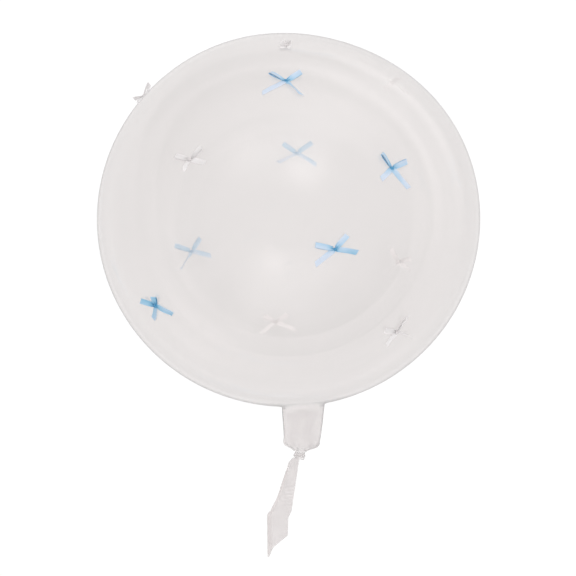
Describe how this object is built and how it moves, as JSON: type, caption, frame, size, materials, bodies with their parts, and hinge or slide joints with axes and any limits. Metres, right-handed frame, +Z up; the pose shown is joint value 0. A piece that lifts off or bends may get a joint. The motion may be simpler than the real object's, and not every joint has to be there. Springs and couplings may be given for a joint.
{
  "type": "clear bubble balloon with bows",
  "caption": "Clear round film balloon with a knotted neck and a folded tail, dressed all over with small satin ribbon bows, lying on its back.",
  "frame": {"origin": "middle of the small flat spot that the lying bubble rests on", "axes": "+Z up, away from the table; the neck, knot and tail leave the bubble along -Y, and its crown points along +Y"},
  "size_m": [0.457, 0.6292, 0.4553],
  "materials": {
    "clear_film": "clear stretched plastic film, glossy and see-through, faintly warm grey, seen double where the near and far walls overlap",
    "blue_satin": "pale blue satin ribbon, soft sheen along its length, woven edges",
    "white_satin": "white satin ribbon, soft sheen along its length, woven edges"
  },
  "bodies": {
    "root": {"balloon": "clear_film", "bow_blue_high": "blue_satin", "bow_blue_right": "blue_satin", "bow_blue_middle": "blue_satin", "bow_blue_left": "blue_satin", "bow_blue_under_high": "blue_satin", "bow_blue_under_left": "blue_satin", "bow_white_left": "white_satin", "bow_white_low_right": "white_satin", "bow_white_crown": "white_satin", "bow_white_rim": "white_satin", "bow_white_under_rim": "white_satin", "bow_white_under_side": "white_satin", "bow_white_under_low": "white_satin"}
  },
  "joints": []
}
